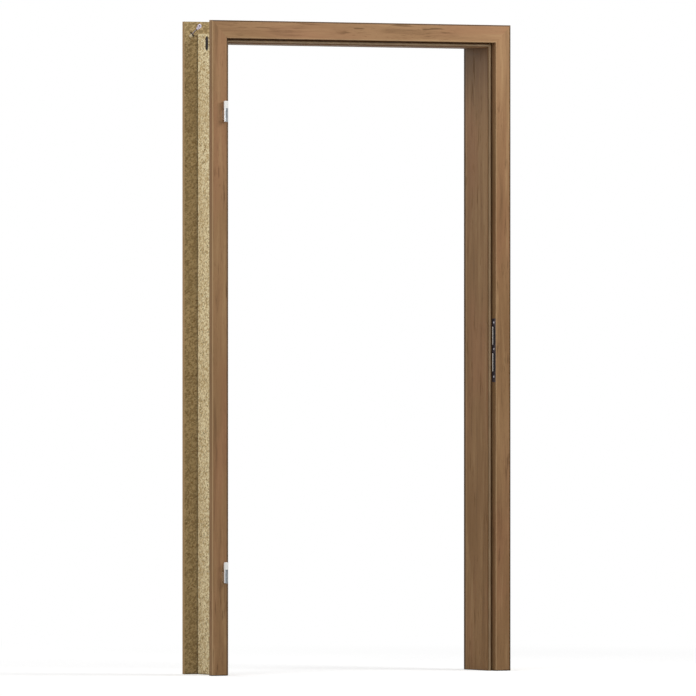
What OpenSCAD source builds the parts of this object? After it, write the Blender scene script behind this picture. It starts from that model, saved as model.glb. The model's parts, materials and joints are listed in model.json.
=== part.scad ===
// Adjustable interior door frame: three linings, a fixed front casing, a sliding
// back casing, the rebate seal, the frame halves of two hinges and a strike plate.
// Front faces -Y, the hinge jamb is at -X. The origin is the centre of the footprint.

/* [Door opening] */
// Width between the two rebate faces
rebate_w = 966; // [700:1:1250]
// Height from the floor to the rebate face of the head
rebate_h = 1983; // [1850:1:2300]
// Thinnest wall that the frame clasps
wall_t = 160; // [130:1:300]
// How far the back casing pulls out for a thicker wall
adjust_travel = 20; // [5:1:30]

/* [Lining] */
// Thickness of the lining boards
lining_t = 26; // [24:0.5:34]
// How far the lining stands into the opening as a door stop
stop_w = 15; // [12:0.5:16]
// Depth of the rebate behind the front face
rebate_d = 25; // [24:0.5:34]
// How far the jamb linings stand above the head lining
lining_rise = 6; // [0:0.5:20]
// Gap between the linings and the back casing on the thinnest wall
lining_back_gap = 4; // [1:0.5:8]

/* [Casings] */
// Width of the casing boards seen from the front
casing_w = 56; // [52:0.5:90]
// Thickness of the casing boards
casing_t = 18; // [18:0.5:22]
// Rounding along the outer edges
casing_outer_r = 5; // [1:0.5:8]
// Rounding along the inner edges
casing_inner_r = 3; // [0.5:0.5:5]
// Thickness of the tongue that glues the front casing to the lining
glue_tongue_t = 6; // [4:0.5:6.5]
// Length of the glued tongue
glue_tongue_l = 12; // [6:0.5:16]
// Wood left beside the glued tongue, on the rebate side
glue_tongue_shoulder = 2; // [1:0.5:3]
// How far the back casing reaches in past the rebate face
back_lap = 2; // [0:0.5:4]
// Thickness of the tongue that slides in the lining
slide_tongue_t = 7; // [5:0.5:8]
// Length of the sliding tongue that stays in the lining at full travel
slide_grip = 24; // [15:1:40]
// Clearance on each side of the sliding tongue
slide_clear = 0.3; // [0.2:0.05:0.6]
// Spare depth of a groove past its tongue
groove_spare = 0.5; // [0.3:0.1:1]
// Trim at each end of a tongue that runs between the jamb linings
tongue_end_clear = 0.5; // [0.2:0.1:2]

/* [Rebate seal] */
// Width of the soft lip
seal_w = 8.4; // [6:0.2:9]
// How far the soft lip stands out of the lining
seal_proud = 6; // [3:0.5:8]
// Distance from the rebate face to the middle of the seal
seal_at = 8; // [5:0.5:9]
// Thickness of the stem in its groove
seal_stem_t = 3.4; // [2:0.1:4.5]
// Length of the stem
seal_stem_l = 7; // [4:0.5:9]
// Reach of each barb beyond the stem
seal_barb = 0.3; // [0.1:0.05:0.5]

/* [Hinges] */
// Height of the joint between sleeve and bush below the head rebate, upper hinge
hinge_drop = 218; // [150:1:400]
// Distance between the two hinges
hinge_spacing = 1435; // [1200:1:1450]
// Diameter of the metal sleeve
sleeve_d = 14; // [13:0.5:16]
// Height of the metal sleeve
sleeve_h = 43; // [35:1:60]
// Diameter of the plastic bush over the pin
bush_d = 13; // [12:0.5:15]
// Height of the plastic bush
bush_h = 23; // [18:1:30]
// Diameter of the hinge pin
pin_d = 8; // [6:0.5:9]
// Metal left in the sleeve below the pin
pin_floor = 8; // [4:0.5:12]
// Plastic left in the bush above the pin
bush_cap = 4; // [2:0.5:5]
// Rounding of the bush's domed end
bush_dome_r = 3; // [1:0.5:5]
// Rounding at the foot of the sleeve
sleeve_foot_r = 2; // [0.5:0.5:4]
// Distance from the rebate face out to the hinge axis
hinge_axis_out = 12; // [9:0.5:13]
// Gap between the casing face and the metal sleeve
sleeve_gap = 2.5; // [0.5:0.5:6]
// Thickness of the arm that holds the sleeve
arm_t = 4.5; // [3:0.5:5]
// Height of the arm
arm_h = 30; // [20:1:34]
// How deep the arm reaches behind the casing face
arm_depth = 42; // [32:1:46]
// Height of the carrier behind the casing
carrier_h = 62; // [50:1:90]
// Width of the carrier, outwards from the lining
carrier_w = 20; // [16:0.5:24]
// Depth of the carrier, backwards from the casing
carrier_d = 34; // [30:0.5:50]
// Diameter of the clamping screw
clamp_d = 6; // [4:0.5:6]
// Length of the clamping screw
clamp_l = 7; // [5:0.5:9]
// Diameter of the carrier's wood screws
carrier_screw_d = 4; // [3:0.5:5]
// Distance from the ends of the carrier to its wood screws
carrier_screw_inset = 8; // [6:0.5:9]

/* [Strike plate] */
// Height of the middle of the plate above the floor
strike_z = 1012; // [800:1:1200]
// Length of the plate
strike_l = 201; // [190:1:240]
// Width of the plate
strike_w = 22; // [20:0.5:23]
// Thickness of the plate
strike_t = 2; // [1.5:0.1:3]
// Wood left between the plate and the casing face
strike_margin = 1.5; // [1:0.1:2]
// Height of each aperture
aperture_h = 57; // [40:1:60]
// Width of the open part of an aperture
aperture_w = 11; // [8:0.5:11]
// Wood and metal left in front of an aperture
aperture_margin = 5; // [4.5:0.1:5]
// Height of the metal between the two apertures
aperture_bridge = 27; // [20:1:35]
// Shift of the aperture pair above the middle of the plate
aperture_rise = 4; // [-4:0.5:8]
// Width of the sloping lip along each aperture
lip_w = 4.5; // [3:0.5:5]
// How deep the sloping lip dips behind the plate
lip_dip = 4; // [2:0.5:6]
// Thickness of the lip's lower edge
lip_t = 1; // [0.8:0.1:1.5]
// Depth of the plastic box behind the plate
box_depth = 19; // [16:0.5:24]
// Wall of the plastic box
box_wall = 1; // [0.8:0.1:1]
// Clearance around the plastic box in the wood
box_clear = 0.1; // [0.1:0.05:0.2]
// Diameter of the strike screws
strike_screw_d = 3.5; // [3:0.1:4]
// Length of the strike screws
strike_screw_l = 26; // [20:1:35]

/* [Corner fittings] */
// Width of the pocket of a lining connector
corner_w = 18; // [14:0.5:20]
// Height of the pocket of a lining connector
corner_h = 47; // [40:1:60]
// Depth of the pocket of a lining connector
corner_depth = 8; // [6:0.5:8]
// Height of the connector's screw above the middle of its pocket
corner_screw_rise = 12; // [6:0.5:14]
// Depth of the front lining connector behind the front face
corner_front_at = 62; // [56:1:70]
// Wood left between the rear lining connector and the sliding groove
corner_rear_margin = 3; // [2:0.5:10]
// Diameter of the connector screws
corner_screw_d = 6; // [4:0.5:6]
// Length of the connector screws
corner_screw_l = 60; // [50:1:80]
// Outer diameter of the eye of a mitre connector
eye_d = 14; // [12:0.5:15]
// Hole in the eye
eye_hole_d = 5.6; // [4:0.2:6]
// Metal left below the hole in the eye
eye_floor = 2; // [1:0.5:3]
// Metal left between the hole in the eye and the stud
eye_bridge = 2; // [1:0.5:2.5]
// Depth of the pockets of a mitre connector
mitre_depth = 9; // [7:0.5:10]
// Side of the square nut
nut_side = 12; // [10:0.5:13]
// Height of the square nut
nut_t = 6.5; // [5:0.5:7]
// Diameter of the stud between eye and nut
stud_d = 4; // [3:0.5:5]
// Distance from the rebate face to where the stud crosses the mitre
mitre_cross_at = 22.5; // [20:0.5:26]
// Distance from the mitre to the middle of the eye
eye_reach = 28.5; // [26:0.5:30]
// Distance from the mitre to the middle of the nut
nut_reach = 15; // [13:0.5:17]
// Clearance around a fitting in its pocket
fitting_clear = 0.2; // [0.1:0.05:0.4]
// Width of the shoulder that the head of a connector screw sits on
seat_w = 2; // [1.5:0.1:3]
// Height of the head of a connector screw
connector_head_h = 3; // [2:0.5:4]

/* [Hidden] */
$fn = 48;

// Sides of the frame
HINGE = -1;
STRIKE = 1;

// Colours of the finishes
DECOR = "#8b6c4c";
RAW_METAL = "#c9c6cf";
DARK_METAL = "#3c373d";
SLEEVE_METAL = "#a3a19d";
WHITE_PLASTIC = "#f0f0ec";
BLACK_PLASTIC = "#1b1a1a";
SEAL_BROWN = "#a5845c";

// Angle step of the rounded outlines
ARC_STEP = 15;
// Overlap of a cutting shape with the outside of what it cuts
CUT = 1;

// Depths behind the front face
frame_d = wall_t + 2 * casing_t;
lining_end = frame_d - casing_t - lining_back_gap;
slide_tongue_l = lining_back_gap + slide_grip + adjust_travel;
slide_tongue_start = frame_d - casing_t - slide_tongue_l;
slide_groove_start = slide_tongue_start - 4 * groove_spare;

// Distances outwards from the rebate face
lining_out = lining_t - stop_w;

// Hinge geometry in the plan of the hinge jamb
sleeve_r = sleeve_d / 2;
hinge_axis_d = -(sleeve_gap + sleeve_r);
hinge_reach = sleeve_gap + sleeve_d;
arm_out = hinge_axis_out + sleeve_r;
upper_hinge_z = rebate_h - hinge_drop;
lower_hinge_z = upper_hinge_z - hinge_spacing;

// The front face lies so that the frame with its hinges is centred on the origin
front_y = (hinge_reach - frame_d) / 2;
half_w = rebate_w / 2;
reveal_half_w = half_w - stop_w;
lining_h = rebate_h + lining_out + lining_rise;

// Depths of the two lining connectors and the height of their screws
corner_rear_at = slide_groove_start - corner_rear_margin - corner_w / 2;
corner_z = rebate_h + (lining_out - stop_w) / 2;

// Points of an arc around c with radius r from angle a0 to a1
function arc(c, r, a0, a1) =
    [for (a = [a0 : ARC_STEP : a1]) c + r * [cos(a), sin(a)]];

// Places children drawn for the strike side on either side of the frame
module on_side(side) {
    if (side == HINGE)
        mirror([1, 0, 0]) children();
    else
        children();
}

// Moves to the rebate face of the strike jamb, where X runs outwards and Y backwards
module at_jamb() {
    translate([half_w, front_y, 0]) children();
}

// Extrudes a section, drawn outwards and backwards, up the jamb
module up_jamb(side, h) {
    on_side(side)
        at_jamb()
            linear_extrude(height = h) children();
}

// Extrudes the same section along the head
module along_head(l) {
    translate([0, front_y, rebate_h])
        rotate([0, -90, 0])
            linear_extrude(height = l, center = true) children();
}

// Space of one jamb below its mitre
module jamb_mitre_space(side) {
    reach = casing_w + CUT;
    on_side(side)
        translate([0, front_y + frame_d + CUT, 0])
            rotate([90, 0, 0])
                linear_extrude(height = frame_d + 2 * CUT)
                    polygon([
                        [half_w - reach, 0],
                        [half_w + reach, 0],
                        [half_w + reach, rebate_h + reach],
                        [half_w - reach, rebate_h - reach]
                    ]);
}

// Space of the head between its two mitres
module head_mitre_space() {
    reach = casing_w + CUT;
    translate([0, front_y + frame_d + CUT, 0])
        rotate([90, 0, 0])
            linear_extrude(height = frame_d + 2 * CUT)
                polygon([
                    [-(half_w - reach), rebate_h - reach],
                    [half_w - reach, rebate_h - reach],
                    [half_w + reach, rebate_h + reach],
                    [-(half_w + reach), rebate_h + reach]
                ]);
}

// Section of a lining board with its grooves
module lining_section() {
    difference() {
        translate([-stop_w, rebate_d])
            square([lining_t, lining_end - rebate_d]);
        translate([glue_tongue_shoulder, rebate_d - CUT])
            square([glue_tongue_t, glue_tongue_l + CUT + groove_spare]);
        translate([-seal_at - seal_stem_t / 2 - seal_barb, rebate_d - CUT])
            square([seal_stem_t + 2 * seal_barb, seal_stem_l + CUT + groove_spare]);
        translate([-back_lap - slide_clear, slide_groove_start])
            square([slide_tongue_t + 2 * slide_clear, frame_d]);
    }
}

// Section of the front casing without its tongue
module front_casing_section() {
    polygon(concat(
        arc([casing_inner_r, casing_inner_r], casing_inner_r, 180, 270),
        arc([casing_w - casing_outer_r, casing_outer_r], casing_outer_r, 270, 360),
        [[casing_w, casing_t], [lining_out, casing_t]],
        [[lining_out, rebate_d], [0, rebate_d]]
    ));
}

module glue_tongue_section() {
    translate([glue_tongue_shoulder, rebate_d])
        square([glue_tongue_t, glue_tongue_l]);
}

// Section of the back casing without its tongue
module back_casing_section() {
    plate_start = frame_d - casing_t;
    polygon(concat(
        [[-back_lap, plate_start], [casing_w, plate_start]],
        arc([casing_w - casing_outer_r, frame_d - casing_outer_r], casing_outer_r, 0, 90),
        arc([casing_inner_r - back_lap, frame_d - casing_inner_r], casing_inner_r, 90, 180)
    ));
}

module slide_tongue_section() {
    translate([-back_lap, slide_tongue_start])
        square([slide_tongue_t, slide_tongue_l]);
}

// Domed lip of the seal
module seal_lip_section() {
    polygon([for (a = [0 : ARC_STEP : 180])
        [-seal_at + seal_w / 2 * cos(a), rebate_d - seal_proud * sin(a)]]);
}

// Stem of the seal with a barb on each side
module seal_stem_section() {
    half_t = seal_stem_t / 2;
    barb_start = seal_stem_l * 0.6;
    translate([-seal_at, rebate_d])
        polygon([
            [-half_t, -seal_proud / 2], [half_t, -seal_proud / 2],
            [half_t, barb_start], [half_t + seal_barb, barb_start],
            [half_t, seal_stem_l], [-half_t, seal_stem_l],
            [-half_t - seal_barb, barb_start], [-half_t, barb_start]
        ]);
}

// Cylinder along X that starts at the children's origin
module rod_x(d, l) {
    rotate([0, 90, 0]) cylinder(d = d, h = l);
}

// Countersunk wood screw along X, its head's face at the origin
module wood_screw(d, l) {
    head_d = 2 * d;
    head_h = d / 2;
    difference() {
        rotate([0, 90, 0])
            union() {
                cylinder(d1 = head_d, d2 = d, h = head_h);
                translate([0, 0, head_h])
                    cylinder(d = d, h = l - head_h - d);
                translate([0, 0, l - d])
                    cylinder(d1 = d, d2 = d / 8, h = d);
            }
        for (turn = [0, 90])
            rotate([turn, 0, 0])
                translate([-CUT, -d / 8, -d / 2])
                    cube([CUT + d / 4, d / 4, d]);
    }
}

// Hole for a wood screw and its countersink, with room around both
module wood_screw_hole(d, l) {
    head_d = 2 * (d + fitting_clear);
    translate([-CUT, 0, 0])
        rod_x(d + 2 * fitting_clear, l + CUT + fitting_clear);
    rotate([0, 90, 0])
        cylinder(d1 = head_d, d2 = d, h = d / 2 + fitting_clear);
}

// Outline of the pocket of a lining connector around its screw: round top, pointed foot
module corner_outline(clear) {
    r = corner_w / 2 - clear;
    top = corner_h / 2 - corner_w / 2;
    translate([0, -corner_screw_rise])
        polygon(concat(
            arc([0, top], r, 0, 180),
            [[-r, -top], [0, -top - r], [r, -top]]
        ));
}

// Places children on the outer face of a jamb lining, with X outwards, at each connector
module at_lining_connectors(side) {
    on_side(side)
        at_jamb()
            for (depth = [corner_front_at, corner_rear_at])
                translate([lining_out, depth, corner_z]) children();
}

// Turns an outline so that it stands on the lining's outer face
module stand_on_lining(depth) {
    translate([-depth, 0, 0])
        rotate([90, 0, 90])
            linear_extrude(height = depth) children();
}

// Places children on the raw side of a casing at its mitre, where X runs from nut to eye
// and Z into the board
module at_mitre(side, back) {
    raw_d = back ? frame_d - casing_t : casing_t;
    on_side(side)
        translate([half_w + mitre_cross_at, front_y + raw_d, rebate_h + mitre_cross_at])
            rotate([0, -135, 0])
                rotate([back ? -90 : 90, 0, 0]) children();
}

// Outline of the eye of a mitre connector with its tapering neck
module eye_outline(clear) {
    eye_r = eye_d / 2 + clear;
    neck_r = eye_d / 4 + clear;
    neck_end = eye_reach - eye_d - clear;
    translate([eye_reach, 0]) circle(r = eye_r);
    polygon([[eye_reach, -eye_r], [eye_reach, eye_r], [neck_end, neck_r], [neck_end, -neck_r]]);
}

// Pockets for a mitre connector in the raw side of the two casings
module mitre_pockets(side, back) {
    at_mitre(side, back) {
        translate([0, 0, -CUT])
            linear_extrude(height = mitre_depth + CUT) {
                eye_outline(fitting_clear);
                translate([-nut_reach, 0])
                    square(nut_side + 2 * fitting_clear, center = true);
                translate([-nut_reach, -stud_d / 2 - fitting_clear])
                    square([nut_reach + eye_reach, stud_d + 2 * fitting_clear]);
            }
    }
}

// Depth of the stud's axis below the raw side
function stud_depth() = mitre_depth - nut_t / 2;

// Distance from the mitre to the end of the stud's bore in the eye
function stud_end() = eye_reach - eye_hole_d / 2 - eye_bridge;

module mitre_eye(side, back) {
    color(RAW_METAL)
        at_mitre(side, back)
            difference() {
                linear_extrude(height = mitre_depth) eye_outline(0);
                translate([eye_reach, 0, -CUT])
                    cylinder(d = eye_hole_d, h = mitre_depth - eye_floor + CUT);
                translate([-eye_d, 0, stud_depth()])
                    rod_x(stud_d + fitting_clear, eye_d + stud_end());
            }
}

module mitre_stud(side, back) {
    stud_l = nut_reach + nut_side / 2 + stud_end() - groove_spare;
    color(RAW_METAL)
        at_mitre(side, back)
            translate([-nut_reach - nut_side / 2, 0, stud_depth()])
                rod_x(stud_d, stud_l);
}

module mitre_nut(side, back) {
    color(RAW_METAL)
        at_mitre(side, back)
            translate([-nut_reach, 0, mitre_depth - nut_t])
                difference() {
                    linear_extrude(height = nut_t) square(nut_side, center = true);
                    translate([-nut_side, 0, nut_t / 2])
                        rod_x(stud_d + fitting_clear, 2 * nut_side);
                }
}

// Places children at the middle of a hinge's arm, X outwards and Y backwards
module at_hinge(joint_z) {
    on_side(HINGE)
        at_jamb()
            translate([0, 0, joint_z - sleeve_h / 2]) children();
}

// Slot through the casing for the arm, and the hole to reach the clamping screw
module hinge_cuts(joint_z) {
    at_hinge(joint_z) {
        translate([arm_out - arm_t - slide_clear, -CUT, -arm_h / 2 - slide_clear])
            cube([arm_t + 2 * slide_clear, casing_t + 2 * CUT, arm_h + 2 * slide_clear]);
        translate([-CUT, clamp_at(), 0])
            rod_x(clamp_d + 2 * fitting_clear, lining_out + 2 * CUT);
    }
}

// Depth of the clamping screw, midway in the wood behind the casing board
function clamp_at() = (casing_t + rebate_d) / 2;

// Depth of the carrier's wood screws, behind the glued tongue
function carrier_screw_at() = rebate_d + glue_tongue_l + 2 * carrier_screw_d;

// Places children at each wood screw of a carrier, X outwards
module at_carrier_screws(joint_z) {
    offset_z = carrier_h / 2 - carrier_screw_inset;
    at_hinge(joint_z)
        for (z = [-offset_z, offset_z])
            translate([lining_out + carrier_w, carrier_screw_at(), z])
                rotate([0, 0, 180]) children();
}

function carrier_screw_l() = carrier_w + lining_t / 2;

module jamb_lining(side) {
    difference() {
        up_jamb(side, lining_h) lining_section();
        at_lining_connectors(side) {
            stand_on_lining(corner_depth) corner_outline(0);
            translate([CUT, 0, 0])
                rotate([0, 0, 180])
                    rod_x(corner_screw_d + 2 * fitting_clear, lining_t + 2 * CUT);
        }
    }
}

module hinge_jamb_lining() {
    color(DECOR)
        difference() {
            jamb_lining(HINGE);
            for (z = [upper_hinge_z, lower_hinge_z])
                at_carrier_screws(z)
                    wood_screw_hole(carrier_screw_d, carrier_screw_l());
        }
}

module strike_jamb_lining() {
    color(DECOR) jamb_lining(STRIKE);
}

module head_lining() {
    color(DECOR)
        difference() {
            along_head(2 * reveal_half_w) lining_section();
            for (side = [HINGE, STRIKE])
                at_lining_connectors(side)
                    rotate([0, 0, 180])
                        rod_x(corner_screw_d + 2 * fitting_clear, corner_screw_l);
        }
}

module jamb_front_casing(side) {
    difference() {
        intersection() {
            up_jamb(side, rebate_h + casing_w) {
                front_casing_section();
                glue_tongue_section();
            }
            jamb_mitre_space(side);
        }
        mitre_pockets(side, false);
    }
}

module hinge_jamb_front_casing() {
    color(DECOR)
        difference() {
            jamb_front_casing(HINGE);
            for (z = [upper_hinge_z, lower_hinge_z])
                hinge_cuts(z);
        }
}

module strike_jamb_front_casing() {
    color(DECOR)
        difference() {
            jamb_front_casing(STRIKE);
            strike_cut();
        }
}

module head_front_casing() {
    color(DECOR)
        difference() {
            union() {
                intersection() {
                    along_head(rebate_w + 2 * casing_w) front_casing_section();
                    head_mitre_space();
                }
                along_head(2 * (reveal_half_w - tongue_end_clear)) glue_tongue_section();
            }
            for (side = [HINGE, STRIKE])
                mitre_pockets(side, false);
        }
}

module jamb_back_casing(side) {
    color(DECOR)
        difference() {
            intersection() {
                up_jamb(side, rebate_h + casing_w) {
                    back_casing_section();
                    slide_tongue_section();
                }
                jamb_mitre_space(side);
            }
            mitre_pockets(side, true);
        }
}

module head_back_casing() {
    color(DECOR)
        difference() {
            union() {
                intersection() {
                    along_head(rebate_w + 2 * casing_w) back_casing_section();
                    head_mitre_space();
                }
                along_head(2 * (reveal_half_w - tongue_end_clear)) slide_tongue_section();
            }
            for (side = [HINGE, STRIKE])
                mitre_pockets(side, true);
        }
}

module jamb_seal(side) {
    color(SEAL_BROWN)
        intersection() {
            union() {
                up_jamb(side, rebate_h) seal_lip_section();
                up_jamb(side, rebate_h) seal_stem_section();
            }
            jamb_mitre_space(side);
        }
}

module head_seal() {
    color(SEAL_BROWN)
        union() {
            intersection() {
                along_head(rebate_w) seal_lip_section();
                head_mitre_space();
            }
            along_head(2 * (reveal_half_w - tongue_end_clear)) seal_stem_section();
        }
}

// Metal sleeve with a blind bore for the pin, on an arm that enters the carrier
module hinge_sleeve(joint_z) {
    pin_seat = sleeve_h - pin_floor;
    color(SLEEVE_METAL)
        difference() {
            at_hinge(joint_z) {
                translate([hinge_axis_out, hinge_axis_d, -sleeve_h / 2])
                    rotate_extrude()
                        polygon(concat(
                            [[0, 0]],
                            arc([sleeve_r - sleeve_foot_r, sleeve_foot_r], sleeve_foot_r, 270, 360),
                            [[sleeve_r, sleeve_h], [0, sleeve_h]]
                        ));
                translate([arm_out - arm_t, hinge_axis_d, -arm_h / 2])
                    cube([arm_t, arm_depth - hinge_axis_d, arm_h]);
            }
            at_hinge(joint_z)
                translate([hinge_axis_out, hinge_axis_d, sleeve_h / 2 - pin_seat])
                    cylinder(d = pin_d + fitting_clear, h = pin_seat + CUT);
        }
}

module hinge_pin(joint_z) {
    pin_seat = sleeve_h - pin_floor;
    color(RAW_METAL)
        at_hinge(joint_z)
            translate([hinge_axis_out, hinge_axis_d, sleeve_h / 2 - pin_seat])
                cylinder(d = pin_d, h = pin_seat + bush_h - bush_cap);
}

// Plastic bush with a domed end, closed over the pin
module hinge_bush(joint_z) {
    bush_r = bush_d / 2;
    color(WHITE_PLASTIC)
        at_hinge(joint_z)
            translate([hinge_axis_out, hinge_axis_d, sleeve_h / 2])
                difference() {
                    rotate_extrude()
                        polygon(concat(
                            [[0, 0], [bush_r, 0]],
                            arc([bush_r - bush_dome_r, bush_h - bush_dome_r], bush_dome_r, 0, 90),
                            [[0, bush_h]]
                        ));
                    translate([0, 0, -CUT])
                        cylinder(d = pin_d + fitting_clear, h = bush_h - bush_cap + CUT);
                }
}

// Die-cast carrier on the outer face of the lining, with the slot that takes the arm
module hinge_carrier(joint_z) {
    slot = [arm_t, arm_depth - casing_t, arm_h] + fitting_clear * [2, 1, 2];
    color(RAW_METAL)
        difference() {
            at_hinge(joint_z) {
                difference() {
                    translate([lining_out, casing_t, -carrier_h / 2])
                        cube([carrier_w, carrier_d, carrier_h]);
                    translate([arm_out - arm_t - fitting_clear, casing_t - CUT, -slot[2] / 2])
                        cube(slot + [0, CUT, 0]);
                    translate([0, clamp_at(), 0])
                        rod_x(clamp_d + fitting_clear, arm_out - arm_t);
                }
            }
            at_carrier_screws(joint_z)
                wood_screw_hole(carrier_screw_d, carrier_screw_l());
        }
}

// Grub screw that presses on the arm, with a hexagon socket towards the rebate
module hinge_clamp_screw(joint_z) {
    color(DARK_METAL)
        at_hinge(joint_z)
            translate([arm_out - arm_t - clamp_l, clamp_at(), 0])
                difference() {
                    rod_x(clamp_d, clamp_l);
                    translate([-CUT, 0, 0])
                        rotate([0, 90, 0])
                            cylinder(d = clamp_d / 2, h = CUT + clamp_l / 2, $fn = 6);
                }
}

module carrier_screws(joint_z) {
    color(RAW_METAL)
        at_carrier_screws(joint_z)
            wood_screw(carrier_screw_d, carrier_screw_l());
}

// Middle heights of the two apertures, above the middle of the plate
function aperture_middles() =
    [for (end = [-1, 1]) aperture_rise + end * (aperture_h + aperture_bridge) / 2];

// Depth of the middle of the plate and heights of its screws above its middle
function strike_mid() = strike_margin + strike_w / 2;
function strike_screw_heights() =
    let (last = (aperture_bridge + 2 * aperture_h) / 2, end = strike_l / 2)
    [
        -(end + last - aperture_rise) / 2,
        aperture_rise,
        (end + last + aperture_rise) / 2
    ];

// Places children on the strike jamb's rebate face at the middle of the plate
module at_strike() {
    at_jamb() translate([0, 0, strike_z]) children();
}

// Height of the box behind both apertures
function box_h() = 2 * aperture_h + aperture_bridge + 2 * box_wall;

// Distance from the rebate face to the front of the box, behind the lip
function box_start() = strike_t + lip_dip + fitting_clear;

// Outer form of the box from a given distance on, grown by a clearance
module strike_box_form(start, grow) {
    at_strike()
        translate([start, aperture_margin - box_wall - grow, aperture_rise - box_h() / 2 - grow])
            cube([
                strike_t + box_depth - start + grow,
                aperture_w + 2 * (box_wall + grow),
                box_h() + 2 * grow
            ]);
}

// Places children at the front lower corner of each aperture
module at_apertures() {
    at_strike()
        for (z = aperture_middles())
            translate([0, aperture_margin, z - aperture_h / 2]) children();
}

// Recess of the plate, room for the box and the screw holes
module strike_cut() {
    at_strike()
        translate([-CUT, strike_margin, -strike_l / 2])
            cube([strike_t + CUT, strike_w, strike_l]);
    strike_box_form(-CUT, box_clear);
    at_apertures()
        translate([-CUT, aperture_w - CUT, 0])
            cube([box_start() + CUT, lip_w + fitting_clear + CUT, aperture_h]);
    at_strike()
        for (z = strike_screw_heights())
            translate([0, strike_mid(), z])
                rod_x(strike_screw_d + 2 * fitting_clear, strike_screw_l + fitting_clear);
}

// Sheet-steel plate with a lip that slopes into each aperture
module strike_plate() {
    opening_w = aperture_w + lip_w;
    color(DARK_METAL)
        difference() {
            union() {
                difference() {
                    at_strike()
                        translate([0, strike_margin, -strike_l / 2])
                            cube([strike_t, strike_w, strike_l]);
                    at_apertures()
                        translate([-CUT, 0, 0])
                            cube([strike_t + 2 * CUT, opening_w, aperture_h]);
                }
                at_apertures()
                    linear_extrude(height = aperture_h)
                        polygon([
                            [0, opening_w], [strike_t, opening_w],
                            [strike_t + lip_dip, aperture_w + lip_t],
                            [strike_t + lip_dip, aperture_w],
                            [lip_dip, aperture_w]
                        ]);
            }
            at_strike()
                for (z = strike_screw_heights())
                    translate([0, strike_mid(), z])
                        wood_screw_hole(strike_screw_d, strike_screw_l);
        }
}

// Moulded box that closes the wood behind the two apertures
module strike_box() {
    color(BLACK_PLASTIC)
        difference() {
            strike_box_form(box_start(), 0);
            at_apertures()
                cube([strike_t + box_depth - box_wall, aperture_w, aperture_h]);
            at_strike()
                translate([0, strike_mid(), aperture_rise])
                    rod_x(strike_screw_d + 2 * fitting_clear, strike_screw_l + CUT);
        }
}

module strike_screws() {
    color(RAW_METAL)
        at_strike()
            for (z = strike_screw_heights())
                translate([0, strike_mid(), z])
                    wood_screw(strike_screw_d, strike_screw_l);
}

// Plastic connector in its pocket, with a seat for the screw's head
module lining_connectors(side) {
    seat_d = corner_screw_d + 2 * seat_w;
    seat_depth = corner_depth / 2;
    notch_w = corner_w / 3;
    notch_depth = 1;
    color(BLACK_PLASTIC)
        at_lining_connectors(side)
            difference() {
                stand_on_lining(corner_depth) corner_outline(fitting_clear);
                translate([CUT, 0, 0])
                    rotate([0, 0, 180]) {
                        rod_x(seat_d, seat_depth + CUT);
                        rod_x(corner_screw_d + 2 * fitting_clear, corner_depth + 2 * CUT);
                    }
                translate([
                    -notch_depth, -notch_w / 2, (corner_w / 2 - corner_h) / 2 - corner_screw_rise
                ])
                    cube([notch_depth + CUT, notch_w, notch_w]);
            }
}

module lining_screws(side) {
    seat_depth = corner_depth / 2;
    socket_depth = 2.5;
    color(RAW_METAL)
        at_lining_connectors(side)
            translate([connector_head_h - seat_depth, 0, 0])
                rotate([0, 0, 180])
                    difference() {
                        union() {
                            rod_x(corner_screw_d + 2 * seat_w - 2 * fitting_clear, connector_head_h);
                            rod_x(corner_screw_d, corner_screw_l - seat_depth);
                        }
                        translate([-CUT, 0, 0])
                            rotate([0, 90, 0])
                                cylinder(d = corner_screw_d / 2, h = CUT + socket_depth, $fn = 6);
                    }
}

hinge_jamb_lining();
strike_jamb_lining();
head_lining();
hinge_jamb_front_casing();
strike_jamb_front_casing();
head_front_casing();
jamb_back_casing(HINGE);  // hinge_jamb_back_casing
jamb_back_casing(STRIKE);  // strike_jamb_back_casing
head_back_casing();
jamb_seal(HINGE);  // hinge_jamb_seal
jamb_seal(STRIKE);  // strike_jamb_seal
head_seal();
hinge_sleeve(upper_hinge_z);  // upper_hinge_sleeve
hinge_pin(upper_hinge_z);  // upper_hinge_pin
hinge_bush(upper_hinge_z);  // upper_hinge_bush
hinge_carrier(upper_hinge_z);  // upper_hinge_carrier
hinge_clamp_screw(upper_hinge_z);  // upper_hinge_clamp_screw
carrier_screws(upper_hinge_z);  // upper_carrier_screws
hinge_sleeve(lower_hinge_z);  // lower_hinge_sleeve
hinge_pin(lower_hinge_z);  // lower_hinge_pin
hinge_bush(lower_hinge_z);  // lower_hinge_bush
hinge_carrier(lower_hinge_z);  // lower_hinge_carrier
hinge_clamp_screw(lower_hinge_z);  // lower_hinge_clamp_screw
carrier_screws(lower_hinge_z);  // lower_carrier_screws
strike_plate();
strike_box();
strike_screws();
lining_connectors(HINGE);  // hinge_side_lining_connectors
lining_connectors(STRIKE);  // strike_side_lining_connectors
lining_screws(HINGE);  // hinge_side_lining_screws
lining_screws(STRIKE);  // strike_side_lining_screws
mitre_eye(HINGE, false);  // front_hinge_mitre_eye
mitre_stud(HINGE, false);  // front_hinge_mitre_stud
mitre_nut(HINGE, false);  // front_hinge_mitre_nut
mitre_eye(STRIKE, false);  // front_strike_mitre_eye
mitre_stud(STRIKE, false);  // front_strike_mitre_stud
mitre_nut(STRIKE, false);  // front_strike_mitre_nut
mitre_eye(HINGE, true);  // back_hinge_mitre_eye
mitre_stud(HINGE, true);  // back_hinge_mitre_stud
mitre_nut(HINGE, true);  // back_hinge_mitre_nut
mitre_eye(STRIKE, true);  // back_strike_mitre_eye
mitre_stud(STRIKE, true);  // back_strike_mitre_stud
mitre_nut(STRIKE, true);  // back_strike_mitre_nut
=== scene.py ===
"""Materials, light and camera for the adjustable wooden door frame."""

import json
import math

import bpy
from mathutils import Matrix, Vector

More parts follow.
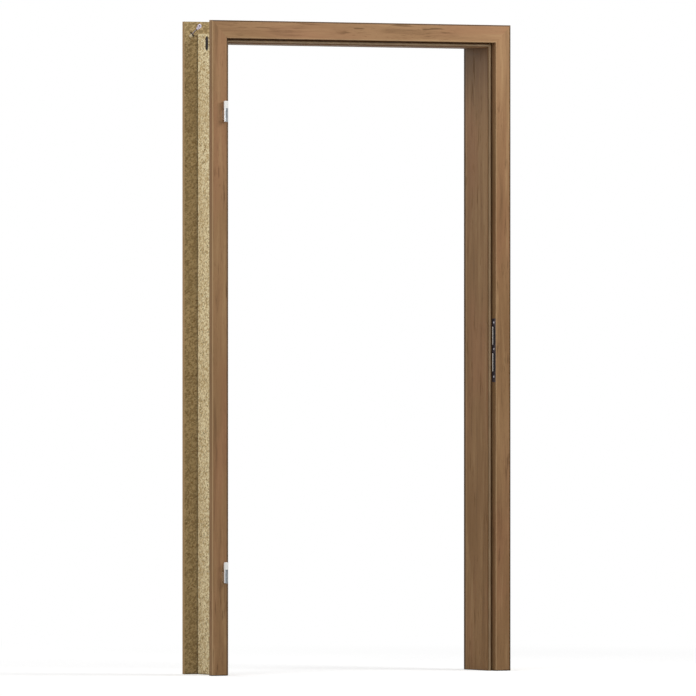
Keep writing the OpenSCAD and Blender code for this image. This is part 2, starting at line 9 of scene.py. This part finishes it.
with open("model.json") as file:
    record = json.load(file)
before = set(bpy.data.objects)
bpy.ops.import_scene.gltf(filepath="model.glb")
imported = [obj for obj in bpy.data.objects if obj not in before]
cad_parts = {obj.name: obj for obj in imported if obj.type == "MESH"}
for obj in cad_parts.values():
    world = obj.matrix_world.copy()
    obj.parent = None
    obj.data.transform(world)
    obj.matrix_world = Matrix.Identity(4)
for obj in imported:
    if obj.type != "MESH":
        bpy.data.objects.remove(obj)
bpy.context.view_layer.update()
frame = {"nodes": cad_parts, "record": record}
scene = bpy.context.scene

# Places in the row frame that the finishes follow, in metres
FRONT_Y = -0.08975
BACK_Y = 0.10625
HALF_W = 0.483
CASING_W = 0.056
CASING_T = 0.018
STOP_W = 0.015
HEAD_Z = 1.983
LINING_END = 0.022
LIP_WEAR_Y = -0.0707
SEAT_Y = -0.02775
SEAT_Z = 1.969
SEAT_R = 0.009
SEAT_STRAIGHT = 0.029
NUT_X = 0.5161
NUT_Z = 1.9949


def srgb(*levels):
    """A linear colour from three sRGB levels of 0 to 255."""
    linear = [
        v / 12.92 if v <= 0.04045 else ((v + 0.055) / 1.055) ** 2.4
        for v in (level / 255 for level in levels)
    ]
    return (*linear, 1.0)


class Finish:
    """A material and the short calls that make its nodes."""

    def __init__(self, name):
        self.material = bpy.data.materials.new(name)
        self.material.use_nodes = True
        self.tree = self.material.node_tree
        self.tree.nodes.clear()
        self.place = self.node("ShaderNodeTexCoord")

    def node(self, kind, values=None, **settings):
        made = self.tree.nodes.new(kind)
        for key, value in settings.items():
            setattr(made, key, value)
        for key, value in (values or {}).items():
            if isinstance(value, bpy.types.NodeSocket):
                self.tree.links.new(value, made.inputs[key])
            else:
                made.inputs[key].default_value = value
        return made

    def math(self, operation, a, b=0.0, c=0.0, clamp=False):
        return self.node(
            "ShaderNodeMath", {0: a, 1: b, 2: c}, operation=operation, use_clamp=clamp
        ).outputs[0]

    def step(self, value, low, high):
        """0 below low, 1 above high, smooth between."""
        return self.node(
            "ShaderNodeMapRange",
            {"Value": value, "From Min": low, "From Max": high},
            interpolation_type="SMOOTHSTEP",
        ).outputs["Result"]

    def mix(self, factor, a, b, blend="MIX"):
        return self.node(
            "ShaderNodeMix",
            {0: factor, 6: a, 7: b},
            data_type="RGBA",
            blend_type=blend,
        ).outputs[2]

    def xyz(self, vector):
        return self.node("ShaderNodeSeparateXYZ", {0: vector}).outputs

    def stretched(self, scale, shift=(0.0, 0.0, 0.0), source=None):
        """Object coordinates times a scale for each axis."""
        return self.node(
            "ShaderNodeMapping",
            {
                "Vector": source or self.place.outputs["Object"],
                "Location": shift,
                "Scale": scale,
            },
        ).outputs[0]

    def turned(self, angles, source):
        """A vector turned by three angles in radians."""
        return self.node(
            "ShaderNodeMapping", {"Vector": source, "Rotation": angles}
        ).outputs[0]

    def noise(self, vector, scale=1.0, detail=2.0, roughness=0.5, distortion=0.0):
        return self.node(
            "ShaderNodeTexNoise",
            {
                "Vector": vector,
                "Scale": scale,
                "Detail": detail,
                "Roughness": roughness,
                "Distortion": distortion,
            },
        ).outputs["Fac"]

    def cells(self, vector, scale=1.0, randomness=1.0):
        return self.node(
            "ShaderNodeTexVoronoi",
            {"Vector": vector, "Scale": scale, "Randomness": randomness},
        ).outputs

    def bump(self, height, distance, strength=1.0):
        return self.node(
            "ShaderNodeBump",
            {"Height": height, "Distance": distance, "Strength": strength},
        ).outputs[0]

    def shade(self, values):
        """Ends the material in one Principled shader."""
        shader = self.node("ShaderNodeBsdfPrincipled", values)
        self.node("ShaderNodeOutputMaterial", {"Surface": shader.outputs[0]})
        return self.material


def raw_board(f, dark, light):
    """Colour and height of bare chipboard: flakes of several sizes, dark flecks, dust."""
    wander = f.node(
        "ShaderNodeTexNoise",
        {"Vector": f.stretched((1, 1, 1)), "Scale": 180.0, "Detail": 2.0},
    ).outputs["Color"]
    bent = f.node(
        "ShaderNodeVectorMath",
        {0: wander, 1: (0.004, 0.004, 0.004), 2: f.place.outputs["Object"]},
        operation="MULTIPLY_ADD",
    ).outputs[0]
    rising = f.turned((0.8, 0.3, 0.6), bent)
    falling = f.turned((-0.7, 0.5, -0.9), bent)
    long_flakes = f.cells(f.stretched((105, 250, 250), source=rising))
    cross_flakes = f.cells(f.stretched((240, 110, 240), (4, 7, 1), source=falling))
    fines = f.cells(f.stretched((520, 520, 520), (2, 5, 9)))
    tone = f.math(
        "ADD",
        f.math("MULTIPLY", f.xyz(long_flakes["Color"])[0], 0.45),
        f.math("MULTIPLY", f.xyz(cross_flakes["Color"])[1], 0.4),
    )
    tone = f.math("MULTIPLY_ADD", f.xyz(fines["Color"])[2], 0.15, tone)
    colour = f.mix(f.step(tone, 0.3, 0.7), dark, light)
    fleck = f.step(f.xyz(cross_flakes["Color"])[2], 0.88, 0.92)
    colour = f.mix(f.math("MULTIPLY", fleck, 0.55), colour, srgb(118, 92, 54))
    patch = f.noise(f.stretched((9, 9, 5)), detail=3.0)
    colour = f.mix(f.math("MULTIPLY", f.step(patch, 0.42, 0.66), 0.25), colour, dark)
    height = f.math("ADD", tone, f.math("MULTIPLY", fleck, -0.8))
    return colour, height


# Ground tones of the decor on the head and on the jambs
FILM_TONES = {
    "X": (srgb(148, 113, 79), srgb(174, 137, 100)),
    "Z": (srgb(132, 99, 66), srgb(154, 120, 84)),
}


def decor_film(f, along):
    """Colour, height and roughness of the oak decor with its grain along X or Z."""

    def grain(across, lengthways, shift=(0.0, 0.0, 0.0), source=None):
        scale = [across] * 3
        scale["XYZ".index(along)] = lengthways
        return f.stretched(tuple(scale), shift, source)

    sway = f.node(
        "ShaderNodeTexNoise", {"Vector": grain(5, 2.2), "Scale": 1.0, "Detail": 2.0}
    ).outputs["Color"]
    bent = f.node(
        "ShaderNodeVectorMath",
        {0: sway, 1: tuple(0.05 if axis == along else 0.009 for axis in "XYZ"), 2: f.place.outputs["Object"]},
        operation="MULTIPLY_ADD",
    ).outputs[0]
    broad = f.noise(grain(11, 1.3, (3, 1, 8), bent), detail=3.0, roughness=0.5)
    bands = f.noise(grain(60, 3.2, (1, 6, 2), bent), detail=4.0, roughness=0.6)
    fibres = f.noise(grain(430, 11, (7, 2, 5), bent), detail=3.0, roughness=0.65)
    warm = f.noise(grain(9, 2.5, (11, 3, 4)), detail=2.0)
    # Painted light: over their top 0.4 m the jambs' decor blends to the head's lighter tones, standing in for the
    # brighter light near the top.
    height_up = f.xyz(f.place.outputs["Object"])[2]
    painted_top_light = f.math("MULTIPLY", f.step(height_up, 1.55, 1.95), 0.4)
    ground = [f.mix(painted_top_light, low, high) for low, high in zip(FILM_TONES[along], FILM_TONES["X"])]
    colour = f.mix(f.step(broad, 0.3, 0.7), *ground)
    colour = f.mix(
        f.math("MULTIPLY", f.step(warm, 0.44, 0.68), 0.4), colour, srgb(160, 113, 84)
    )
    colour = f.mix(
        f.math("MULTIPLY", f.step(bands, 0.52, 0.74), 0.55), colour, srgb(100, 72, 47)
    )
    colour = f.mix(
        f.math("MULTIPLY", f.step(bands, 0.48, 0.27), 0.45), colour, srgb(182, 149, 108)
    )
    colour = f.mix(
        f.math("MULTIPLY", f.step(fibres, 0.5, 0.78), 0.3), colour, srgb(94, 67, 42)
    )
    cluster = f.step(f.noise(grain(16, 5, (2, 9, 6)), detail=1.0), 0.42, 0.62)
    pores = f.step(f.noise(grain(620, 52, (5, 5, 1), bent), detail=1.0), 0.62, 0.72)
    pores = f.math("MULTIPLY", pores, f.math("MULTIPLY_ADD", cluster, 0.6, 0.4))
    cracks = f.step(f.noise(grain(120, 11, (8, 4, 3), bent), detail=2.0), 0.59, 0.68)
    cracks = f.math("MULTIPLY", cracks, cluster)
    marks = f.math("MAXIMUM", f.math("MULTIPLY", pores, 0.55), cracks)
    colour = f.mix(f.math("MULTIPLY", marks, 0.52), colour, srgb(78, 54, 33))
    height = f.math("MULTIPLY_ADD", fibres, 0.25, f.math("MULTIPLY", marks, -1.0))
    gloss = f.math("MULTIPLY_ADD", marks, 0.25, 0.6)
    return colour, height, gloss


# Darkest and lightest flakes of the casings' raw sides and of the linings'
RAW_TONES = (
    (srgb(147, 126, 88), srgb(191, 168, 125)),
    (srgb(204, 177, 128), srgb(255, 240, 198)),
)


def near(f, value, middle, width, fade=None):
    """1 where a value lies within width of a middle, falling smoothly to 0."""
    off = f.math("ABSOLUTE", f.math("SUBTRACT", value, middle))
    return f.step(off, width, width - (fade or width))


def pocket_shade_mask(f, x, y, z, role):
    """1 on the edges of a connector pocket, where the board is painted dark as the recess's shade."""
    if role == "lining":
        aside = f.math("SUBTRACT", y, SEAT_Y)
        along = f.math("ABSOLUTE", f.math("SUBTRACT", z, SEAT_Z))
        along = f.math("MAXIMUM", f.math("SUBTRACT", along, SEAT_STRAIGHT / 2), 0.0)
        away = f.math("SQRT", f.math("ADD", f.math("POWER", aside, 2.0), f.math("POWER", along, 2.0)))
        return f.step(away, SEAT_R + 0.005, SEAT_R + 0.0025)
    right = f.math("SUBTRACT", f.math("ABSOLUTE", x), NUT_X)
    up = f.math("SUBTRACT", z, NUT_Z)
    rising = f.math("ABSOLUTE", f.math("ADD", right, up))
    falling = f.math("ABSOLUTE", f.math("SUBTRACT", right, up))
    away = f.math("MULTIPLY", f.math("MAXIMUM", rising, falling), math.sqrt(0.5))
    inward = f.math("MULTIPLY", f.math("SUBTRACT", up, right), math.sqrt(0.5))
    return f.math("MULTIPLY", f.step(away, 0.0104, 0.0084), f.step(inward, 0.002, 0.005))


def board(name, along, role):
    """Decor on the seen sides of a board, bare chipboard on its wall side and ends."""
    f = Finish(name)
    x, y, z = f.xyz(f.place.outputs["Object"])
    nx, ny, nz = f.xyz(f.place.outputs["Normal"])
    if along == "Z":
        side = f.math("SIGN", x)
        out = f.math("SUBTRACT", f.math("MULTIPLY", x, side), HALF_W)
        n_out = f.math("MULTIPLY", nx, side)
        n_end = f.math("ABSOLUTE", nz)
    else:
        out = f.math("SUBTRACT", z, HEAD_Z)
        n_out = nz
        n_end = f.math("ABSOLUTE", nx)
    if role == "front":
        n_wall, deep = ny, f.math("SUBTRACT", y, FRONT_Y)
    else:
        n_wall, deep = f.math("MULTIPLY", ny, -1.0), f.math("SUBTRACT", BACK_Y, y)

    if role == "lining":
        facing = f.math("LESS_THAN", n_out, -0.5)
        on_face = f.math("LESS_THAN", out, -STOP_W + 0.0008)
        stop_end = f.math("LESS_THAN", ny, -0.5)
        film_side = f.math("MAXIMUM", f.math("MULTIPLY", facing, on_face), stop_end)
        film_side = f.math("MAXIMUM", film_side, f.math("GREATER_THAN", ny, 0.5))
        raw = f.math("SUBTRACT", 1.0, film_side)
        edge_light_shade = 0.0
        # Painted shade and highlight: a dark line at the lining's rear end, standing in for the shadow behind it,
        # and a lighter line beside it as an edge highlight.
        rear = near(f, deep, LINING_END, 0.011, 0.003)
        beside = near(f, deep, LINING_END + 0.016, 0.005, 0.002)
        line = f.math("MAXIMUM", rear, f.math("MULTIPLY", beside, 0.4))
        shaded = f.math("LESS_THAN", deep, LINING_END + 0.011)
        # Painted shade: the lining darkens over its top 0.3 m, as in the shadow under the head.
        painted_head_shade = f.math("MULTIPLY", f.step(z, HEAD_Z - 0.3, HEAD_Z - 0.015), 0.46)
    else:
        stop_end = painted_head_shade = 0.0
        behind = f.math("GREATER_THAN", deep, CASING_T - 0.0004)
        raw = f.math(
            "MAXIMUM",
            f.math("GREATER_THAN", n_wall, 0.5),
            f.math("MULTIPLY", behind, f.math("GREATER_THAN", n_out, 0.5)),
        )
        raw = f.math("MAXIMUM", raw, f.math("GREATER_THAN", n_end, 0.9))
        inside = near(f, out, CASING_W / 2, CASING_W / 2 - 0.003, 0.0005)
        inside = f.math("MULTIPLY", inside, f.math("LESS_THAN", f.math("ABSOLUTE", n_wall), 0.5))
        raw = f.math("MAXIMUM", raw, inside)
        # Painted highlight and shade on the rounded edges and at the casing's back corner: pale on the lit side,
        # dark on the shaded side.
        turned = f.math("SUBTRACT", 1.0, f.math("MAXIMUM", f.math("ABSOLUTE", n_wall), f.math("ABSOLUTE", n_out)))
        edge_light_shade = f.math(
            "MAXIMUM",
            f.step(turned, 0.02, 0.2),
            near(f, deep, CASING_T, 0.0015),
        )
        # Painted shade and highlight: a line along each face edge, dark on the side away from the light and pale
        # on the lit side; the uprights' outer edge gets a wider dark line.
        offset = f.math("SUBTRACT", out, CASING_W / 2)
        line = near(f, f.math("ABSOLUTE", offset), CASING_W / 2, 0.0046, 0.0014)
        if along == "Z":
            right_edge = near(f, x, HALF_W + CASING_W, 0.0066, 0.0014)
            line = f.math("MAXIMUM", line, right_edge)
        line = f.math("MULTIPLY", line, f.math("LESS_THAN", n_wall, -0.5))
        if along == "Z":
            offset = f.math("MULTIPLY", offset, side)
        shaded = f.math("GREATER_THAN", offset, 0.0)
        # Painted shade: a dark line along the back casing's inner rear edge.
        if role == "back":
            rear = f.math("MULTIPLY", f.math("LESS_THAN", n_out, -0.5), near(f, deep, 0.0, 0.005, 0.0015))
            line = f.math("MAXIMUM", line, rear)
            shaded = f.math("MAXIMUM", shaded, rear)
        # The pale painted line is weakened on the strike jamb's lit edge and on the head.
        painted_lit_share = f.math("SUBTRACT", 1.0, shaded)
        if along == "Z":
            painted_lit_share = f.math("MULTIPLY", painted_lit_share, f.math("GREATER_THAN", x, 0.0))
        weaker = f.math("MULTIPLY_ADD", painted_lit_share, -0.5 if along == "Z" else -0.3, 1.0)
        line = f.math("MULTIPLY", line, weaker)
    # Painted shadow: a dark line along the bottom of the uprights and their bare sides, where they meet the floor.
    foot_shadow = 0.0
    if along == "Z":
        foot_shadow = f.step(z, 0.0042, 0.0018)
        line = f.math("MAXIMUM", line, foot_shadow)
        shaded = f.math("MAXIMUM", shaded, foot_shadow)
    film, film_height, gloss = decor_film(f, along)
    # Noise breaks the painted edge highlight into a ragged line.
    highlight_breakup_scale = (140, 140, 22) if along == "Z" else (22, 140, 140)
    highlight_breakup = f.noise(f.stretched(highlight_breakup_scale), detail=3.0)
    edge_light_shade = f.math("MULTIPLY", edge_light_shade, f.step(highlight_breakup, 0.2, 0.7))
    # Painted edge tones: pale as a highlight where lit, dark brown as shade where shaded.
    edge_light_shade_tone = f.mix(shaded, srgb(200, 168, 128), srgb(36, 22, 12))
    reach = f.math("MAXIMUM", edge_light_shade, f.math("MULTIPLY", line, 0.95))
    more = 0.4 if along == "Z" else 0.25
    film = f.mix(f.math("MULTIPLY", reach, f.math("MULTIPLY_ADD", shaded, more, 0.55)), film, edge_light_shade_tone)
    if role == "lining":
        film = f.mix(0.22, film, srgb(116, 84, 38))
    film = f.mix(painted_head_shade, film, srgb(50, 36, 20))
    outer = f.math("GREATER_THAN", n_out, 0.7)
    # Painted light: the back casing's outer side is lightened to a tan, as lit from the left.
    if role == "back":
        painted_lit_share = 0.45 if along == "Z" else 0.15
        film = f.mix(f.math("MULTIPLY", outer, painted_lit_share), film, srgb(186, 153, 102))
    # Painted shade: the front casing's outer and inner sides are darkened.
    if role == "front":
        film = f.mix(f.math("MULTIPLY", outer, 0.3), film, srgb(92, 70, 42))
        inner = f.math("LESS_THAN", n_out, -0.7)
        film = f.mix(f.math("MULTIPLY", inner, 0.3), film, srgb(78, 56, 26))
    # Painted shade: the lining's front end is darkened as the shadowed groove beside the seal.
    film = f.mix(f.math("MULTIPLY", stop_end, 0.8), film, srgb(106, 72, 38))
    bare, bare_height = raw_board(f, *RAW_TONES[role == "lining"])
    if role == "lining":
        # Painted shade: a dark band on the lining's bare side where it meets the back casing.
        corner_shade = near(f, deep, CASING_T, 0.007, 0.003)
        bare = f.mix(f.math("MULTIPLY", corner_shade, 0.7), bare, srgb(96, 76, 42))
    # The lining's bare side grows darker towards the bottom.
    low_down = f.math("MULTIPLY", f.step(z, 1.2, 0.1), 0.1 if role == "lining" else 0.0)
    bare = f.mix(low_down, bare, srgb(150, 128, 96))
    bare = f.mix(f.math("MULTIPLY", foot_shadow, 0.6), bare, srgb(60, 48, 30))
    # Painted shade: the bare board round the connector pockets darkens, as in the shadow of the recess.
    if (along, role) != ("X", "lining"):
        pocket_shade = f.math("MULTIPLY", pocket_shade_mask(f, x, y, z, role), 0.9)
        bare = f.mix(pocket_shade, bare, srgb(30, 22, 14))
    colour = f.mix(raw, film, bare)
    height = f.node(
        "ShaderNodeMix", {0: raw, 2: film_height, 3: bare_height}, data_type="FLOAT"
    ).outputs[0]
    rough = f.node(
        "ShaderNodeMix", {0: raw, 2: gloss, 3: 0.88}, data_type="FLOAT"
    ).outputs[0]
    return f.shade(
        {
            "Base Color": colour,
            "Roughness": rough,
            "Normal": f.bump(height, 0.00035, 0.7),
            "Specular IOR Level": 0.12,
        }
    )


def brushed_metal(name, colour, dark, roughness, metallic, highlight_from=-2.0):
    """Metal with fine scratches, blotches, lighter rubbed places and a painted highlight on sides facing -X."""
    f = Finish(name)
    scratches = f.noise(f.stretched((2600, 2600, 90)), detail=3.0, roughness=0.6)
    blotch = f.noise(f.stretched((130, 130, 130)), detail=4.0, roughness=0.6)
    spots = f.noise(f.stretched((900, 900, 900)), detail=2.0)
    tint = f.mix(f.step(blotch, 0.35, 0.7), colour, dark)
    rubbed = f.math("MULTIPLY", f.step(spots, 0.6, 0.75), 0.25)
    tint = f.mix(rubbed, tint, srgb(232, 232, 236))
    tint = f.mix(f.math("MULTIPLY", scratches, 0.22), tint, dark)
    # Painted highlight: faces turned towards -X past the given threshold are lightened towards white, as a lamp's
    # reflection.
    painted_highlight = f.step(f.xyz(f.place.outputs["Normal"])[0], highlight_from, highlight_from - 0.3)
    tint = f.mix(f.math("MULTIPLY", painted_highlight, 0.85), tint, srgb(246, 247, 249))
    rough = f.math("MULTIPLY_ADD", scratches, 0.22, roughness - 0.11)
    rough = f.math("MULTIPLY_ADD", blotch, 0.12, rough)
    return f.shade(
        {
            "Base Color": tint,
            "Metallic": metallic,
            "Roughness": rough,
            "Normal": f.bump(f.math("ADD", scratches, blotch), 0.00008, 0.6),
        }
    )


def moulded_plastic(name, colour, deep, roughness, grain_depth):
    """Plastic with a fine moulded texture, flow marks and dust in its pits."""
    f = Finish(name)
    grain = f.noise(f.stretched((1500, 1500, 1500)), detail=3.0, roughness=0.6)
    flow = f.noise(f.stretched((90, 90, 40)), detail=3.0)
    tint = f.mix(f.step(flow, 0.3, 0.72), colour, deep)
    tint = f.mix(f.math("MULTIPLY", f.step(grain, 0.62, 0.8), 0.3), tint, deep)
    return f.shade(
        {
            "Base Color": tint,
            "Roughness": f.math("MULTIPLY_ADD", grain, 0.2, roughness - 0.1),
            "Normal": f.bump(grain, grain_depth, 0.5),
        }
    )


def seal_rubber(name):
    """Soft light-brown profile: faint lines along it, dust and a satin bloom."""
    f = Finish(name)
    lines = f.noise(f.stretched((1800, 1800, 25)), detail=2.0)
    cloud = f.noise(f.stretched((45, 45, 14)), detail=4.0)
    tint = f.mix(f.step(cloud, 0.3, 0.7), srgb(136, 111, 80), srgb(154, 128, 94))
    tint = f.mix(f.math("MULTIPLY", f.step(lines, 0.5, 0.8), 0.3), tint, srgb(120, 94, 62))
    return f.shade(
        {
            "Base Color": tint,
            "Roughness": f.math("MULTIPLY_ADD", cloud, 0.2, 0.5),
            "Sheen Weight": 0.15,
            "Normal": f.bump(lines, 0.0001, 0.5),
        }
    )


def lacquered_plate(name):
    """Dark lacquered steel, worn to bright metal on the lips that the latch slides over."""
    f = Finish(name)
    x, y, z = f.xyz(f.place.outputs["Object"])
    nx, ny, nz = f.xyz(f.place.outputs["Normal"])
    orange_peel = f.noise(f.stretched((900, 900, 900)), detail=2.0)
    smears = f.noise(f.stretched((140, 140, 28)), detail=4.0, roughness=0.6)
    scrapes = f.noise(f.stretched((600, 2600, 600)), detail=2.0)
    lip = f.math("GREATER_THAN", f.math("ABSOLUTE", ny), 0.15)
    sloping = f.math("MULTIPLY", lip, f.math("LESS_THAN", f.math("ABSOLUTE", ny), 0.95))
    lip = f.math("MULTIPLY", sloping, f.math("GREATER_THAN", y, LIP_WEAR_Y))
    worn = f.math("MULTIPLY", lip, f.step(scrapes, 0.2, 0.55))
    chips = f.math("MULTIPLY", f.step(smears, 0.66, 0.72), 0.35)
    bare = f.math("MAXIMUM", worn, chips)
    tint = f.mix(f.step(smears, 0.35, 0.7), srgb(62, 55, 60), srgb(84, 75, 82))
    # Painted shade: the deeper part of the sloping lips is darkened almost to black, as the shadow in the
    # openings.
    lip_shadow = f.math("MULTIPLY", sloping, f.math("LESS_THAN", y, LIP_WEAR_Y))
    tint = f.mix(f.math("MULTIPLY", lip_shadow, 0.9), tint, srgb(10, 8, 8))
    tint = f.mix(bare, tint, srgb(176, 168, 160))
    return f.shade(
        {
            "Base Color": tint,
            "Metallic": f.math("MULTIPLY_ADD", bare, 0.6, 0.4),
            "Roughness": f.math("MULTIPLY_ADD", smears, 0.2, 0.3),
            "Normal": f.bump(orange_peel, 0.00006, 0.5),
        }
    )


finishes = {
    "brown_seal": seal_rubber("seal_brown_rubber"),
    "hinge_steel": brushed_metal("sleeve_satin_nickel", srgb(150, 154, 157), srgb(104, 108, 112), 0.3, 1.0, -0.6),
    "white_plastic": moulded_plastic("bush_white_plastic", srgb(250, 250, 248), srgb(238, 238, 233), 0.3, 0.00003),
    "dark_steel": lacquered_plate("plate_dark_lacquer"),
    "black_plastic": moulded_plastic("connector_black_plastic", srgb(17, 15, 15), srgb(9, 8, 8), 0.55, 0.00008),
    "strike_screws": brushed_metal("screw_polished", srgb(250, 248, 252), srgb(226, 222, 230), 0.3, 0.3),
    "mitre_nuts": brushed_metal("nut_yellow_zinc", srgb(214, 203, 176), srgb(166, 154, 128), 0.3, 0.6),
    "carriers": brushed_metal("carrier_zinc", srgb(196, 197, 198), srgb(146, 147, 149), 0.35, 0.8),
    "zinc_steel": brushed_metal("fitting_bright_zinc", srgb(216, 210, 226), srgb(160, 153, 172), 0.3, 0.6),
}
boards = {
    (along, role): board(f"oak_{role}_{'upright' if along == 'Z' else 'level'}", along, role)
    for along in "XZ"
    for role in ("front", "back", "lining")
}


def board_role(node):
    for role in ("front", "back"):
        if role in node:
            return role
    return "lining"


def own_finish(node):
    """The finish of nodes that differ from the rest of their slot."""
    for ending, finish in (
        ("strike_screws", "strike_screws"), ("mitre_nut", "mitre_nuts"), ("carrier", "carriers")
    ):
        if node.endswith(ending):
            return finish
    return None


for part in frame["record"]["subparts"]:
    node = part["node"]
    if part["material_slot"] == "oak_decor":
        material = boards["X" if node.startswith("head") else "Z", board_role(node)]
    else:
        material = finishes[own_finish(node) or part["material_slot"]]
    for slot in frame["nodes"][node].material_slots:
        slot.material = material


# Floor and background
FLOOR_REACH = 60.0
SHADOW_REACH = (1.6, 3.2)


def pale_floor():
    bpy.ops.mesh.primitive_circle_add(vertices=96, radius=FLOOR_REACH, fill_type="NGON")
    floor = bpy.context.object
    floor.name = "floor"
    floor.location = (0, 0, -0.0005)
    f = Finish("floor_pale")
    distance = f.node(
        "ShaderNodeVectorMath", {0: f.place.outputs["Object"]}, operation="LENGTH"
    ).outputs["Value"]
    cloud = f.noise(f.stretched((3, 3, 3)), detail=3.0)
    tint = f.mix(cloud, srgb(204, 204, 204), srgb(208, 208, 208))
    diffuse = f.node("ShaderNodeBsdfDiffuse", {"Color": tint})
    path = f.node("ShaderNodeLightPath").outputs
    seen = f.math("MAXIMUM", path["Is Camera Ray"], path["Is Glossy Ray"])
    seen = f.math("MAXIMUM", seen, path["Is Transmission Ray"])
    lift = f.node(
        "ShaderNodeEmission", {"Strength": f.math("MULTIPLY", seen, 0.5)}
    )
    near_floor = f.node("ShaderNodeAddShader", {0: diffuse.outputs[0], 1: lift.outputs[0]})
    far_floor = f.node("ShaderNodeEmission", {"Strength": 1.0})
    far = f.math("MULTIPLY", seen, f.step(distance, *SHADOW_REACH))
    mixed = f.node(
        "ShaderNodeMixShader", {0: far, 1: near_floor.outputs[0], 2: far_floor.outputs[0]}
    )
    f.node("ShaderNodeOutputMaterial", {"Surface": mixed.outputs[0]})
    floor.data.materials.append(f.material)


def white_world(level):
    world = bpy.data.worlds.new("studio")
    world.use_nodes = True
    scene.world = world
    tree = world.node_tree
    tree.nodes.clear()
    path = tree.nodes.new("ShaderNodeLightPath")
    backdrop = tree.nodes.new("ShaderNodeBackground")
    ambient = tree.nodes.new("ShaderNodeBackground")
    ambient.inputs["Strength"].default_value = level
    seen = tree.nodes.new("ShaderNodeMath")
    seen.operation = "MAXIMUM"
    glass = tree.nodes.new("ShaderNodeMath")
    glass.operation = "MAXIMUM"
    backdrop.inputs["Color"].default_value = (1, 1, 1, 1)
    ambient.inputs["Color"].default_value = (1, 1, 1, 1)
    mixer = tree.nodes.new("ShaderNodeMixShader")
    output = tree.nodes.new("ShaderNodeOutputWorld")
    tree.links.new(path.outputs["Is Camera Ray"], seen.inputs[0])
    tree.links.new(path.outputs["Is Glossy Ray"], seen.inputs[1])
    tree.links.new(seen.outputs[0], glass.inputs[0])
    tree.links.new(path.outputs["Is Transmission Ray"], glass.inputs[1])
    tree.links.new(glass.outputs[0], mixer.inputs[0])
    tree.links.new(ambient.outputs[0], mixer.inputs[1])
    tree.links.new(backdrop.outputs[0], mixer.inputs[2])
    tree.links.new(mixer.outputs[0], output.inputs["Surface"])


def area_light(name, place, target, power, size):
    data = bpy.data.lights.new(name, "AREA")
    data.energy = power
    data.size = size
    light = bpy.data.objects.new(name, data)
    scene.collection.objects.link(light)
    light.location = place
    aim = Vector(target) - Vector(place)
    light.rotation_euler = aim.to_track_quat("-Z", "Y").to_euler()


pale_floor()
white_world(0.45)
area_light("key", (1.9, -1.9, 3.1), (0.5, 0.0, 1.8), 64, 1.4)
area_light("fill", (-3.6, -1.6, 2.7), (0.0, 0.0, 1.5), 50, 2.0)
area_light("rim", (-1.0, 4.0, 2.8), (0.0, 0.0, 1.0), 40, 2.0)


# The camera stands far off, to the left of the frame, as the photograph's does
CAMERA_BEARING = math.radians(29.626)
CAMERA_TURN = math.radians(29.543)
CAMERA_AWAY = 32.0
CAMERA_HEIGHT = 1.0192

camera_data = bpy.data.cameras.new("camera")
camera_data.sensor_width = 36.0
camera_data.lens = 528.1
camera_data.clip_start = 1.0
camera_data.clip_end = 120.0
camera = bpy.data.objects.new("camera", camera_data)
scene.collection.objects.link(camera)
camera.location = (
    -CAMERA_AWAY * math.sin(CAMERA_BEARING),
    FRONT_Y - CAMERA_AWAY * math.cos(CAMERA_BEARING),
    CAMERA_HEIGHT,
)
camera.rotation_euler = (math.pi / 2, 0.0, -CAMERA_TURN)
scene.camera = camera

scene.view_settings.view_transform = "Standard"
